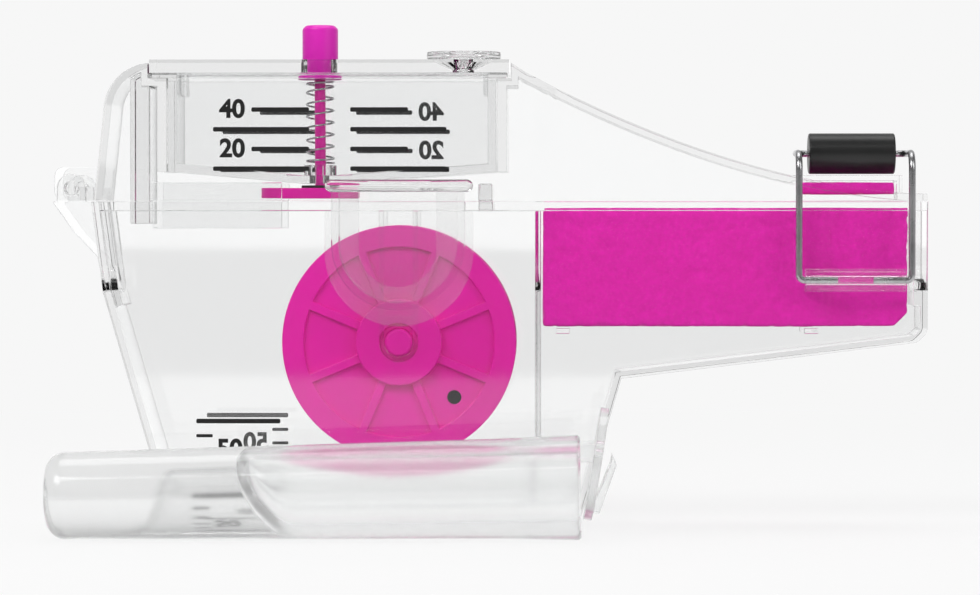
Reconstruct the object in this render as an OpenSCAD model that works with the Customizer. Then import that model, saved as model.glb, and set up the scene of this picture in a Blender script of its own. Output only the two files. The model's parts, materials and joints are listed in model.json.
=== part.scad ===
// Hand-held bicycle chain scrubbing machine with its loose clear handle.
// Millimetres. X runs along the chain, Y away from the viewer, Z up.
// The origin is on the underside of the tub, at mid length and mid depth.

/* [Tub] */
// Height of the tub rim above the surface it stands on
tub_h = 71.3; // [60:0.5:85]
// Thickness of the tub walls
tub_wall = 1.5; // [1:0.1:2.5]
// Reach of the rim to the left of the origin
tub_left = 87; // [80:1:110]
// Reach of the outlet end to the right of the origin
tub_right = 96; // [88:1:120]
// Reach of the flat underside to the left of the origin
foot_left = 69.5; // [60:0.5:76]
// Reach of the flat underside to the right of the origin
foot_right = 19.5; // [15:0.5:26]
// Depth of the brush chamber from front to back
tub_depth = 26; // [25:0.5:32]
// How far each side of the tub steps in at the sponge chamber
narrow_step = 2.5; // [1.8:0.1:3]
// How far each side steps in again behind the latch
outlet_step = 1.5; // [1.2:0.1:1.8]
// Distance from the origin to where the tub narrows
narrow_x = 9; // [8:0.5:12]
// Length of the narrowing step
narrow_run = 6; // [4:0.5:8]
// Distance from the origin to the second narrowing
outlet_x = 72; // [68:0.5:78]
// Height of the sponge chamber at its root, from its underside to the rim
snout_root_h = 38.8; // [35:0.1:43]
// Height of the sponge chamber at its outer end, from its underside to the rim
snout_tip_h = 30.9; // [29:0.1:34]
// Thickness of the rim flange
flange_t = 2; // [1.2:0.1:3]
// How far the rim flange stands out
flange_out = 1; // [0.5:0.1:1.6]

/* [Chain path] */
// Width of the notches that the chain runs through
notch_w = 12; // [10:0.5:13]
// Depth of those notches below the rim
notch_d = 19.9; // [16:0.1:23]
// How far the inlet guide rib reaches below the rim
guide_drop = 4.9; // [3.5:0.1:6]
// How far the guide rib before the sponge reaches below the rim
outguide_drop = 1.9; // [1:0.1:3]
// Length of a guide rib along the chain
guide_l = 4.3; // [3:0.1:6]
// Width of the guide ribs
guide_w = 16; // [12:0.5:18]

/* [Brush wheel] */
// Radius of the wheel discs
wheel_r = 25.7; // [22:0.2:27]
// Distance of the axle to the left of the origin
wheel_x = 19.8; // [19:0.2:24]
// Depth of the axle below the rim
axle_d = 30.9; // [30.2:0.1:33]
// Radius of the axle journals
axle_r = 3.07; // [2.5:0.01:4]
// Running clearance of the axle in its rails
axle_gap = 0.08; // [0.04:0.01:0.1]
// How far a hub stands out beyond the raised rim
hub_boss = 1.1; // [0.6:0.1:2]
// Thickness of a disc inside its raised rim
disc_t = 1.4; // [1:0.1:1.8]
// Height of the raised rim and spokes of a disc
relief = 0.8; // [0.4:0.1:0.9]
// Radius of the raised hub of a disc
hub_r = 9.4; // [7:0.1:11]
// Width of the raised rim
rim_w = 4.8; // [3:0.1:6]
// Number of spokes
spokes = 8; // [5:1:10]
// Width of a spoke
spoke_w = 1.9; // [1:0.1:3]
// Radius of the bristle tips
bristle_r = 23.8; // [20:0.2:24.5]
// Number of bristle rows around the wheel
bristle_rows = 36; // [30:1:40]
// Number of bristles across the wheel
bristle_cols = 9; // [8:1:10]
// Thickness of the sleeve that the bristles grow from
sleeve_t = 1; // [0.6:0.1:1.5]

/* [Cover] */
// Thickness of the cover walls
cover_wall = 1.6; // [1:0.1:2]
// Joint gap between the tub rim and the cover
joint_gap = 0.2; // [0.1:0.05:0.4]
// How far the cover walls stand back from the tub walls
cover_inset = 0.6; // [0.4:0.1:0.9]
// Height of the cover's top face above the tub rim
cover_up = 26.9; // [24:0.1:34]
// Height of the shoulders beside the reservoir lid above that face
shoulder_up = 3.4; // [2:0.1:5]
// Radius of the left shoulder
shoulder_r = 10.6; // [8:0.2:12]
// Length of the left shoulder up to the reservoir lid
shoulder_l = 12.1; // [11.4:0.1:16]
// Height of the cover above the rim at the outlet end
tip_up = 1.7; // [1.3:0.1:2.7]
// Height of the flat seat for the latch roller above the rim
seat_up = 5.8; // [5.2:0.1:8]
// Width of the latch seat
seat_w = 12; // [10:0.5:14]

/* [Hinge] */
// Distance of the hinge axis beyond the tub rim
hinge_out = 4.6; // [4.2:0.1:5.5]
// Height of the hinge axis above the tub rim
hinge_up = 2.9; // [2.5:0.1:3.4]
// Radius of the hinge pins
hinge_pin_r = 1.5; // [1:0.05:1.8]
// Running clearance of the hinge pins
hinge_gap = 0.08; // [0.04:0.01:0.1]
// Thickness of the hinge ears and cheeks
ear_t = 1.8; // [1.2:0.1:2]
// Radius of the cheek around the hinge pin
cheek_r = 3.2; // [2.8:0.1:3.6]
// How far the ears and cheeks stand out beyond the hinge axis
ear_out = 4; // [3.4:0.1:5]

/* [Reservoir] */
// Thickness of the tank walls
tank_wall = 1.8; // [1:0.1:2.2]
// Distance of the tank's right end from the origin
tank_x = 1.5; // [0.5:0.1:1.8]
// Width of the lip that the tank hangs by
lip_w = 4; // [3:0.1:5]
// Height of the tank's underside at its ends above the rim
tank_up = 6.5; // [5.7:0.1:9]
// How far the tank's underside falls to its outlet
tank_fall = 2.6; // [1:0.1:3]
// Thickness of the reservoir lid
lid_t = 2.9; // [2.2:0.1:3.5]
// Thickness of the tank's hanging lip
lip_t = 0.8; // [0.6:0.1:1.2]
// Thickness of the lid gasket
gasket_t = 0.4; // [0.2:0.1:0.8]
// Distance of the filler hole to the left of the origin
filler_x = 5.8; // [5:0.1:12]
// Radius of the filler hole
filler_r = 2.4; // [1.6:0.1:4]
// Radius of the funnel around the filler hole
funnel_r = 7; // [5:0.1:7.4]
// Radius of the filler cap
cap_r = 8.2; // [7.6:0.1:8.6]
// Thickness of the filler cap
cap_t = 1.6; // [1.2:0.1:3]

/* [Plunger] */
// Distance of the plunger to the left of the origin
plunger_x = 37.6; // [34:0.2:42]
// Radius of the push button
button_r = 3.95; // [3:0.05:4.5]
// Height of the push button above the lid
button_up = 8; // [6:0.1:12]
// Running clearance of the button in the lid
button_gap = 0.08; // [0.04:0.01:0.1]
// Radius of the plunger rod
rod_r = 1.2; // [0.8:0.05:1.6]
// Radius of the outlet bore
outlet_r = 2.2; // [2:0.1:2.8]
// Outer radius of the spring
spring_r = 3.2; // [2.6:0.1:3.4]
// Thickness of the spring wire
spring_wire = 0.45; // [0.3:0.05:0.6]
// Number of spring turns
spring_turns = 8; // [6:1:10]
// Length of the valve plate
valve_l = 21.8; // [18:0.2:24]
// Width of the valve plate
valve_w = 10; // [9:0.5:12]
// Thickness of the valve plate
valve_t = 2.3; // [1.6:0.1:2.5]

/* [Sponges] */
// Distance from the origin to the left end of the lower sponge
sponge_x0 = 11.6; // [11.4:0.1:16]
// Distance from the origin to the right end of the lower sponge
sponge_x1 = 91.8; // [80:0.2:92]
// Height of the lower sponge
sponge_h = 26.2; // [22:0.1:26.6]
// Depth of the top of the lower sponge below the rim
sponge_d = 1.3; // [0.8:0.1:3]
// Width of the groove that the chain runs in
groove_w = 6; // [4:0.5:7]
// Depth of the groove that the chain runs in
groove_d = 11; // [8:0.5:14]
// Thickness of the upper sponge pad
pad_t = 2.8; // [2:0.1:3]

/* [Latch] */
// Distance from the origin to the middle of the wire bail
bail_x = 79.9; // [79:0.1:82]
// Half the distance between the bail's legs
bail_half = 12.3; // [11.8:0.1:13]
// Radius of the bail wire
bail_r = 0.75; // [0.5:0.05:1]
// Running clearance around the bail wire
bail_gap = 0.08; // [0.04:0.01:0.1]
// Depth of the bail pivot below the rim
bail_d = 17.2; // [15:0.1:21]
// Distance of the bail pivot in front of the wall
bail_stand = 3.4; // [3:0.1:4.5]
// Radius of the roller
roller_r = 4.5; // [3.5:0.1:5.5]
// Length of the roller
roller_l = 19; // [14:0.2:20]
// Gap between the closed roller and its seat
roller_gap = 0.3; // [0.1:0.05:0.5]

/* [Handle socket] */
// Distance of the socket's middle to the left of the origin
socket_x = 19.6; // [18:0.2:22]
// Half width of the socket
socket_half = 14.4; // [13:0.2:16]
// Height of the socket
socket_h = 28.4; // [24:0.1:30]
// How far the socket stands above the rim
socket_up = 4.8; // [3:0.1:8]
// Clear depth of the socket
socket_d = 5.4; // [5:0.1:7]
// Thickness of the socket walls
socket_wall = 1.6; // [1.2:0.1:2.2]
// Half width of the window in the socket's front
window_half = 8.4; // [7:0.2:10]

/* [Handle] */
// Length of the grip
grip_l = 112.4; // [90:0.2:130]
// Distance of the grip's closed end to the left of the origin
grip_x = 92.6; // [80:0.2:110]
// Distance of the grip's axis in front of the origin
grip_y = 43; // [38:0.5:60]
// Radius of the grip at its closed end
grip_r0 = 9.2; // [8:0.05:11]
// Radius of the grip at its open end
grip_r1 = 11.1; // [10.5:0.05:12]
// Radius of the bore in the grip
grip_bore = 7; // [5:0.1:8]
// Depth of the bore in the grip
bore_depth = 71; // [40:1:90]
// Width of the tongue plate
tongue_w = 24; // [20:0.5:25]
// Thickness of the tongue plate
tongue_t = 1.8; // [1.2:0.1:2.2]
// Lean of the tongue plate
tongue_lean = 10; // [0:1:12]

/* [Hidden] */
$fn = 64;
cut = 1;
running = 0.3;
seat_gap = 0.2;
skin_gap = 0.02;
hand_fn = 32;

// Corners shared by the tub, the hinge and the cover
left_share = 0.854;
notch_z = tub_h - notch_d;
left_z = notch_z;
left_x = foot_left + (tub_left - foot_left) * left_share;
left_slope = (tub_left - left_x) / (tub_h - left_z);
snout_root_z = tub_h - snout_root_h;
snout_tip_z = tub_h - snout_tip_h;
tip_step = 2.2;
tip_x = tub_right - tip_step;
tub_round = 2.4;
top_extra = 6;
half_a = tub_depth / 2;
half_b = half_a - narrow_step;
half_c = half_b - outlet_step;
narrow_end = narrow_x + narrow_run;
outlet_run = narrow_run * 0.6;
root_x = foot_right + snout_root_z * (left_x - foot_left) / left_z;

// Inlet pad, partition and rails
pad_in = 3;
pad_side = 2.4;
pad_half = notch_w / 2 + pad_side;
partition_t = 1.3;
partition_x = sponge_x0 - running - partition_t;
rail_t = tub_wall;
rail_face = half_a - tub_wall - rail_t;
rail_half = 4.3;
keeper_h = 2.5;
keeper_gap = 0.3;
slot_half = axle_r + axle_gap;

// Wheel
wheel_z = tub_h - axle_d;
hub_face = rail_face - running;
disc_in = hub_face - hub_boss - relief - disc_t;
axle_end = half_a - tub_wall - running;
tip_chamfer = 0.5;
tip_r = axle_r - tip_chamfer;
hub_dish_r = 4.2;
hub_dish = 0.6;
drain_r = 1.55;
drain_share = 0.704;
drain_angle = -45;
sleeve_in = hub_r / cos(180 / (2 * bristle_rows)) + skin_gap;
sleeve_r = hub_r + sleeve_t;
sleeve_half = disc_in - seat_gap;
bristle_tip_share = 0.55;

// Cover
cover_z0 = tub_h + joint_gap;
cover_top_z = tub_h + cover_up;
shoulder_z = cover_top_z + shoulder_up;
cover_tip_z = tub_h + tip_up;
seat_z = tub_h + seat_up;
cover_left = tub_left - cover_inset;
cover_right = tub_right;
cover_lean = 0.106;
lip_step = 1.1;
plate_left = cover_left - shoulder_l;
plate_right = tank_x + lip_w - lip_step;
plate_gap = 0.3;
tank_left = plate_left - lip_w;
knee_l = 3.4;
knee_drop = 2;
sweep_x0 = plate_right + knee_l;
sweep_z0 = shoulder_z - knee_drop;
sweep_power = 1.75;
sweep_steps = 16;
arc_steps = 8;
arc_x = -(cover_left - (shoulder_z - shoulder_r - cover_z0) * cover_lean) + shoulder_r;
arc_z = shoulder_z - shoulder_r;
opening_left = tank_left + running;
opening_right = tank_x + running;
collar_t = 2;
tank_end_z = tub_h + tank_up;
outlet_z = tank_end_z - tank_fall;
collar_z = tank_end_z;
seat_x0 = 64;
seat_x1 = 90.7;
seat_wall = 1.2;
guide_in = 7.5;
guide_x0 = cover_left - guide_in;
guide_z = tub_h - guide_drop;
guide_extra = 2 * top_extra;
skirt_out = 3.3;
skirt_l = 28.3;
skirt_x0 = tank_left + skirt_out;
skirt_x1 = skirt_x0 - skirt_l;
skirt_t = 1;
skirt_drop = 5.9;
skirt_rise = 4;
outguide_x = 2.4;
outguide_l = 3.1;
outguide_z = tub_h - outguide_drop;

// Hinge
hinge_x = -(tub_left + hinge_out);
hinge_z = tub_h + hinge_up;
ear_side = 0.9;
ear_in = notch_w / 2 + ear_side;
cheek_in = ear_in + ear_t + running;
ear_h = 4.7;
ear_round = 2;
tab_h = 3;
gusset_shares = [[0, 0], [0.13, 0.39], [0.6, 0.665], [1, 0.98]];

// Reservoir
tank_half = half_a - cover_inset - cover_wall - running;
lip_z = cover_top_z;
gasket_z = lip_z + lip_t;
lid_z = gasket_z + gasket_t;
lid_top = lid_z + lid_t;
lip_in = 0.6;
neck_wall = 1.4;
neck_r = outlet_r + neck_wall;
floor_rise = tank_wall;
boss_h = 2.4;
boss_slot_w = 1.4;
lug_l = 1;
lug_drop = 4.6;
lug_w = 6;
fit_gap = 0.05;
cap_seat = 0.5;
funnel_foot = 0.8;
cap_rim = 1;
cap_boss_r = 3.35;
cap_recess = 0.9;
seal_in = funnel_r;
seal_out = cap_r - running;

// Plunger
button_flange_t = 0.9;
button_flange_r = button_r + button_flange_t;
button_z0 = lid_z - running - button_flange_t;
button_top_z = lid_top + button_up;
button_dome = 0.8;
washer_t = 0.6;
washer_lap = 0.6;
washer_r = neck_r + washer_lap;
washer_z1 = outlet_z - running;
valve_z1 = washer_z1 - washer_t;
valve_z0 = valve_z1 - valve_t;
valve_left_share = 0.6;
tank_floor_z = outlet_z + floor_rise;
spring_z0 = tank_floor_z + boss_h + seat_gap;
spring_z1 = button_z0 - seat_gap;
spring_sides = 6;
spring_rings = 8;

// Sponges
sponge_side = running;
sponge_z1 = tub_h - sponge_d;
sponge_z0 = sponge_z1 - sponge_h;
sponge_bevel = 3;
ledge_h = 1.2;
ledge_gap = 0.3;
ledge_reach = 3;
pad_x0 = 68;
pad_x1 = 89.2;

// Latch
bail_y = -(half_c + bail_stand);
bail_pivot_z = tub_h - bail_d;
roller_z = seat_z + roller_gap + roller_r;
bend_top = 4;
bend_end = 2;
bend_foot = 1.2;
stub_l = 8.4;
barrel_r = 2.5;
barrel_half = bail_half - bend_foot - seat_gap;
barrel_web = 3;

// Socket
socket_z1 = tub_h + socket_up;
socket_z0 = socket_z1 - socket_h;
skirt_plate_out = 1.8;
skirt_plate_half = socket_half + skirt_plate_out;
skirt_plate_z0 = socket_z0 - 2 * skirt_plate_out;
skirt_plate_t = 1.5;
bead_h = 2.8;
bead_over = 1.8;
bead_half = socket_half + bead_over - bead_h / 2;
socket_back = -half_a;
socket_inner_back = socket_back - skirt_plate_t;
socket_front = socket_inner_back - socket_d - socket_wall;
window_rise = 5;

// Handle
end_round = 4;
grip_tilt = atan((grip_r1 - grip_r0) / (grip_l - end_round));
grip_z = grip_r0 * cos(grip_tilt) - end_round * sin(grip_tilt);
grip_shares = [[0.62, 0.51], [0.84, 0.69]];
arc_points = 6;
web_l = 2.6;
web_t = 1.6;
web_up = 5.7;
web_h = 3.6;
plate_up = 8.5;
plate_down = 7.8;
plate_foot = web_h - plate_up - plate_down;
lug_hole = 0.8;
clip_t = 1.3;
clip_stand = 2;
clip_w = 10;
clip_up = 2;

// A flat outline drawn in X and Z, given its depth along Y
module side_prism(y0, y1) {
    translate([0, y1, 0]) rotate([90, 0, 0]) linear_extrude(height = y1 - y0) children();
}

// A flat outline drawn in X and Y, given its height along Z
module plan_prism(z0, z1) {
    translate([0, 0, z0]) linear_extrude(height = z1 - z0) children();
}

// A block between two corners
module block(low, high) {
    translate(low) cube(high - low);
}

// A round bar along Y
module bar_y(x, z, r, y0, y1) {
    translate([x, y0, z]) rotate([-90, 0, 0]) cylinder(r = r, h = y1 - y0);
}

// A round bar along X
module bar_x(y, z, r, x0, x1) {
    translate([x0, y, z]) rotate([0, 90, 0]) cylinder(r = r, h = x1 - x0);
}

// Both halves of something that stands at the front and at the back
module front_and_back() {
    children();
    mirror([0, 1, 0]) children();
}

// Outline of the tub from the side, carried on above the rim by the given height
function tub_side(up) = [
    [-foot_left, 0],
    [foot_right, 0],
    [root_x, snout_root_z],
    [tip_x, snout_tip_z],
    [tub_right, snout_tip_z + tip_step],
    [tub_right, tub_h + up],
    [-(tub_left + left_slope * up), tub_h + up],
    [-left_x, left_z]
];

// Outline of the tub from above, drawn in by the given inset
function tub_plan(inset) = let (
    a = half_a - inset,
    b = half_b - inset,
    c = half_c - inset,
    l = tub_left * 2,
    r = tub_right * 2,
    near = [[-l, -a], [narrow_x, -a], [narrow_end, -b], [outlet_x, -b], [outlet_x + outlet_run, -c], [r, -c]]
) concat(near, [for (i = [len(near) - 1 : -1 : 0]) [near[i][0], -near[i][1]]]);

module tub_outside() {
    intersection() {
        side_prism(-half_a, half_a)
            offset(r = tub_round, $fn = hand_fn) offset(delta = -tub_round) polygon(tub_side(top_extra));
        plan_prism(0, tub_h) polygon(tub_plan(0));
    }
}

module tub_cavity(wall) {
    intersection() {
        side_prism(-half_a, half_a) offset(delta = -wall) polygon(tub_side(top_extra));
        plan_prism(0, tub_h + cut) polygon(tub_plan(tub_wall));
    }
}

// The notch that lets the chain in at the left and out at the right
module chain_notch(x0, x1) {
    r = notch_w / 2;
    bar_x(0, notch_z + r, r, x0, x1);
    block([x0, -r, notch_z + r], [x1, r, tub_h + cut]);
}

module tub_shell() {
    color([0.9, 0.92, 0.93, 0.5])
    difference() {
        union() {
            difference() {
                tub_outside();
                tub_cavity(tub_wall);
            }
            difference() {
                intersection() {
                    plan_prism(tub_h - flange_t, tub_h) polygon(tub_plan(-flange_out));
                    block([-tub_left + flange_t, -tub_depth, 0], [tub_right, tub_depth, tub_h]);
                }
                plan_prism(0, tub_h + cut) polygon(tub_plan(tub_wall));
                block([-socket_x - socket_half, -tub_depth, 0],
                    [-socket_x + socket_half, -half_a, tub_h + cut]);
            }
            difference() {
                intersection() {
                    tub_outside();
                    block([-tub_left, -pad_half, notch_z - pad_in], [0, pad_half, tub_h - flange_t]);
                }
                tub_cavity(pad_in);
            }
            difference() {
                intersection() {
                    tub_outside();
                    block([narrow_end, -pad_half, notch_z - pad_in], [tub_right, pad_half, tub_h - flange_t]);
                }
                tub_cavity(pad_in);
            }
        }
        chain_notch(-tub_left - cut, -foot_left);
        chain_notch(tub_right - 2 * pad_in, tub_right + cut);
    }
}

module tub_partition() {
    color([0.9, 0.92, 0.93, 0.5])
    difference() {
        intersection() {
            tub_cavity(tub_wall);
            block([partition_x, -half_a, 0], [partition_x + partition_t, half_a, tub_h - flange_t]);
        }
        chain_notch(partition_x - cut, partition_x + partition_t + cut);
    }
}

module axle_rails() {
    color([0.9, 0.92, 0.93, 0.5])
    front_and_back()
    difference() {
        union() {
            block([-wheel_x - rail_half, -rail_face - rail_t, wheel_z], [-wheel_x + rail_half, -rail_face,
                tub_h - flange_t]);
            bar_y(-wheel_x, wheel_z, rail_half, -rail_face - rail_t, -rail_face);
        }
        bar_y(-wheel_x, wheel_z, slot_half, -rail_face - rail_t - cut, -rail_face + cut);
        block([-wheel_x - slot_half, -rail_face - rail_t - cut, wheel_z], [-wheel_x + slot_half,
            -rail_face + cut, tub_h + cut]);
    }
}

// Snap blocks that hold the axle down in its rails
module axle_keepers() {
    color([0.9, 0.92, 0.93, 0.5])
    front_and_back()
    block([-wheel_x - slot_half, -rail_face - rail_t, wheel_z + axle_r + keeper_gap],
        [-wheel_x + slot_half, -rail_face, wheel_z + axle_r + keeper_gap + keeper_h]);
}

// A U outline: straight sides down to a round bottom
module u_outline(half, z0, z1) {
    translate([-socket_x, z0 + half]) circle(r = half);
    translate([-socket_x - half, z0 + half]) square([2 * half, z1 - z0 - half]);
}

module handle_socket() {
    skirt_top = socket_z1 - bead_h / 2;
    color([0.9, 0.92, 0.93, 0.5])
    union() {
        side_prism(socket_inner_back, socket_back)
            u_outline(skirt_plate_half, skirt_plate_z0, tub_h - flange_t);
        side_prism(socket_inner_back, socket_back) u_outline(socket_half, socket_z0, skirt_top);
        difference() {
            side_prism(socket_front, socket_inner_back)
                u_outline(socket_half, socket_z0, skirt_top - bead_h / 2);
            side_prism(socket_front + socket_wall, socket_inner_back)
                u_outline(socket_half - socket_wall, socket_z0 + socket_wall, socket_z1 + cut);
            side_prism(socket_front - cut, socket_inner_back)
                u_outline(window_half, socket_z0 + window_rise, socket_z1 + cut);
        }
        bar_x(socket_back - bead_h / 2, socket_z1 - bead_h / 2, bead_h / 2,
            -socket_x - bead_half, -socket_x + bead_half);
        for (s = [-1, 1])
            translate([-socket_x + s * bead_half, socket_back - bead_h / 2, socket_z1 - bead_h / 2])
            sphere(r = bead_h / 2);
    }
}

module latch_barrel() {
    color([0.9, 0.92, 0.93, 0.5])
    difference() {
        union() {
            bar_x(bail_y, bail_pivot_z, barrel_r, bail_x - barrel_half, bail_x + barrel_half);
            block([bail_x - barrel_half, bail_y, bail_pivot_z - barrel_web / 2],
                [bail_x + barrel_half, -half_c / 2, bail_pivot_z + barrel_web / 2]);
        }
        tub_outside();
        bar_x(bail_y, bail_pivot_z, bail_r + bail_gap, bail_x - barrel_half - cut,
            bail_x + barrel_half + cut);
    }
}

module cheek_outline() {
    top = tub_h;
    out = hinge_x - ear_out;
    difference() {
        union() {
            polygon(concat(
                [for (s = gusset_shares) [-left_x + (out + left_x) * s[0], left_z + (top - left_z) * s[1]]],
                [[out, top], [-tub_left, top]]));
            translate([hinge_x, hinge_z]) circle(r = cheek_r);
            translate([hinge_x - cheek_r, top]) square([2 * cheek_r, hinge_up]);
        }
        translate([hinge_x, hinge_z]) circle(r = hinge_pin_r + hinge_gap);
    }
}

module hinge_cheeks() {
    color([0.9, 0.92, 0.93, 0.5])
    front_and_back()
    side_prism(-cheek_in - ear_t, -cheek_in) cheek_outline();
}

// Small shelves on the walls that the lower sponge stands on
module sponge_ledges() {
    z1 = sponge_z0 - ledge_gap;
    color([0.9, 0.92, 0.93, 0.5])
    for (x = [sponge_x0 + ledge_reach, outlet_x - ledge_reach])
        front_and_back()
        block([x, -half_b + tub_wall, z1 - ledge_h], [x + ledge_reach, -half_b + tub_wall + ledge_reach, z1]);
}

module lower_sponge() {
    side = half_b - tub_wall - sponge_side;
    color([0.87, 0.07, 0.5])
    difference() {
        intersection() {
            side_prism(-side, side) polygon([
                [sponge_x0, sponge_z0],
                [sponge_x1 - sponge_bevel, sponge_z0],
                [sponge_x1, sponge_z0 + sponge_bevel],
                [sponge_x1, sponge_z1],
                [sponge_x0, sponge_z1]
            ]);
            plan_prism(0, tub_h) polygon(tub_plan(tub_wall + sponge_side));
        }
        block([sponge_x0 - cut, -groove_w / 2, sponge_z1 - groove_d], [sponge_x1 + cut, groove_w / 2,
            sponge_z1 + cut]);
    }
}

// Height of the sweeping roof at a share of its run
function sweep_z(t) = cover_tip_z + (sweep_z0 - cover_tip_z) * pow(1 - t, sweep_power);

// Outline of the cover from the side, carried on below its edge by the given depth
function cover_side(down) = concat(
    [[-(cover_left + cover_lean * down), cover_z0 - down]],
    [for (i = [0 : arc_steps]) let (a = 180 - (180 - acos((-plate_left - plate_gap - arc_x) / shoulder_r))
        * i / arc_steps)
        [arc_x + shoulder_r * cos(a), arc_z + shoulder_r * sin(a)]],
    [
        [-plate_left - plate_gap, cover_top_z],
        [plate_right + plate_gap, cover_top_z],
        [plate_right + plate_gap, shoulder_z]
    ],
    [for (i = [0 : sweep_steps]) let (t = i / sweep_steps)
        [sweep_x0 + (cover_right - sweep_x0) * t, sweep_z(t)]],
    [[cover_right, cover_z0 - down]]
);

module cover_block(wall, down) {
    intersection() {
        side_prism(-half_a, half_a) offset(delta = -wall) polygon(cover_side(down));
        plan_prism(cover_z0 - down, shoulder_z + cut) polygon(tub_plan(cover_inset + wall));
    }
}

module cover_shell() {
    in_half = half_a - cover_inset - cover_wall;
    color([0.9, 0.92, 0.93, 0.5])
    difference() {
        union() {
            difference() {
                cover_block(0, 0);
                cover_block(cover_wall, guide_extra);
            }
            intersection() {
                cover_block(cover_wall / 2, 0);
                union() {
                    block([-opening_left - collar_t, -half_a, collar_z], [-opening_left, half_a, shoulder_z]);
                    block([opening_right, -half_a, collar_z], [opening_right + collar_t, half_a, shoulder_z]);
                }
            }
            difference() {
                block([seat_x0, -seat_w / 2, cover_tip_z], [seat_x1, seat_w / 2, seat_z]);
                block([0, -seat_w, 0], [seat_x0 + seat_wall, seat_w, shoulder_z]);
                cover_block(cover_wall, guide_extra);
            }
        }
        block([-opening_left, -in_half, collar_z - cut], [opening_right, in_half, shoulder_z + cut]);
        block([seat_x0 + 2 * seat_wall, -seat_w / 2 + seat_wall, 0], [seat_x1 - seat_wall,
            seat_w / 2 - seat_wall, seat_z - seat_wall]);
    }
}

// Ribs that press the chain down before and after the brush wheel
module chain_guides() {
    color([0.9, 0.92, 0.93, 0.5])
    union() {
        intersection() {
            cover_block(cover_wall, guide_extra);
            block([-guide_x0, -guide_w / 2, guide_z], [-guide_x0 + guide_l, guide_w / 2, shoulder_z]);
        }
        intersection() {
            cover_block(cover_wall, guide_extra);
            union() {
                block([-outguide_x, -guide_w / 2, outguide_z],
                    [-outguide_x + outguide_l, guide_w / 2, outlet_z]);
                block([-outguide_x, -half_a, cover_z0], [-outguide_x + outguide_l, half_a, outlet_z]);
            }
        }
    }
}

// Thin plates that drop inside the tub walls and line the cover up
module locating_skirts() {
    face = half_a - tub_wall - running;
    color([0.9, 0.92, 0.93, 0.5])
    front_and_back()
    union() {
        block([-skirt_x0, -face, tub_h - skirt_drop], [-skirt_x1, -face + skirt_t, cover_z0]);
        block([-skirt_x0, -half_a + cover_inset + cover_wall, cover_z0], [-skirt_x1, -face + skirt_t,
            cover_z0 + skirt_rise]);
    }
}

// Outer face of the cover's left wall at a height
function cover_x(z) = -(cover_left - cover_lean * (z - cover_z0));

module hinge_ears() {
    top = hinge_z + ear_h;
    out = hinge_x - ear_out;
    color([0.9, 0.92, 0.93, 0.5])
    difference() {
        union() {
            front_and_back()
            side_prism(-ear_in - ear_t, -ear_in)
                intersection() {
                    translate([out, cover_z0])
                        offset(r = ear_round, $fn = hand_fn) offset(delta = -ear_round)
                        square([cover_left, top - cover_z0]);
                    polygon([[out, cover_z0], [cover_x(cover_z0), cover_z0], [cover_x(top), top], [out, top]]);
                }
            block([hinge_x + hinge_pin_r, -ear_in - ear_t, cover_z0], [-cover_left, ear_in + ear_t,
                cover_z0 + tab_h]);
        }
        bar_y(hinge_x, hinge_z, hinge_pin_r, -half_a, half_a);
    }
}

module hinge_pins() {
    color([0.9, 0.92, 0.93, 0.5])
    front_and_back()
    bar_y(hinge_x, hinge_z, hinge_pin_r, -cheek_in - ear_t, -ear_in);
}

// The space in the tank: straight walls over a floor that falls to the outlet
function tank_side(inset, up) = [
    [-tank_left + inset, tank_end_z + inset],
    [-plunger_x - neck_r, outlet_z + inset],
    [-plunger_x + neck_r, outlet_z + inset],
    [tank_x - inset, tank_end_z + inset],
    [tank_x - inset, lip_z + up],
    [-tank_left + inset, lip_z + up]
];

module reservoir_tank() {
    y = tank_half;
    in_y = tank_half - tank_wall;
    lip_half = half_a - cover_inset - lip_in;
    color([0.9, 0.92, 0.93, 0.5])
    difference() {
        union() {
            side_prism(-y, y) polygon(tank_side(0, 0));
            block([-plate_left + lip_in, -lip_half, lip_z], [plate_right - lip_in, lip_half, lip_z + lip_t]);
        }
        difference() {
            side_prism(-in_y, in_y) polygon(tank_side(tank_wall, lip_t + cut));
            translate([-plunger_x, 0, outlet_z]) cylinder(r = neck_r, h = floor_rise + boss_h);
        }
        translate([-plunger_x, 0, outlet_z - cut]) cylinder(r = outlet_r, h = floor_rise + boss_h + 2 * cut);
        for (a = [0, 90])
            translate([-plunger_x, 0, tank_floor_z]) rotate([0, 0, a])
            block([-2 * neck_r, -boss_slot_w / 2, 0], [2 * neck_r, boss_slot_w / 2, boss_h - running]);
    }
}

module tank_gasket() {
    y = tank_half - tank_wall;
    lip_half = half_a - cover_inset - lip_in;
    color([0.8, 0.8, 0.8, 0.6])
    difference() {
        block([-plate_left + lip_in, -lip_half, gasket_z], [plate_right - lip_in, lip_half, lid_z]);
        block([-tank_left + tank_wall, -y, gasket_z - cut], [tank_x - tank_wall, y, lid_z + cut]);
    }
}

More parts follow.
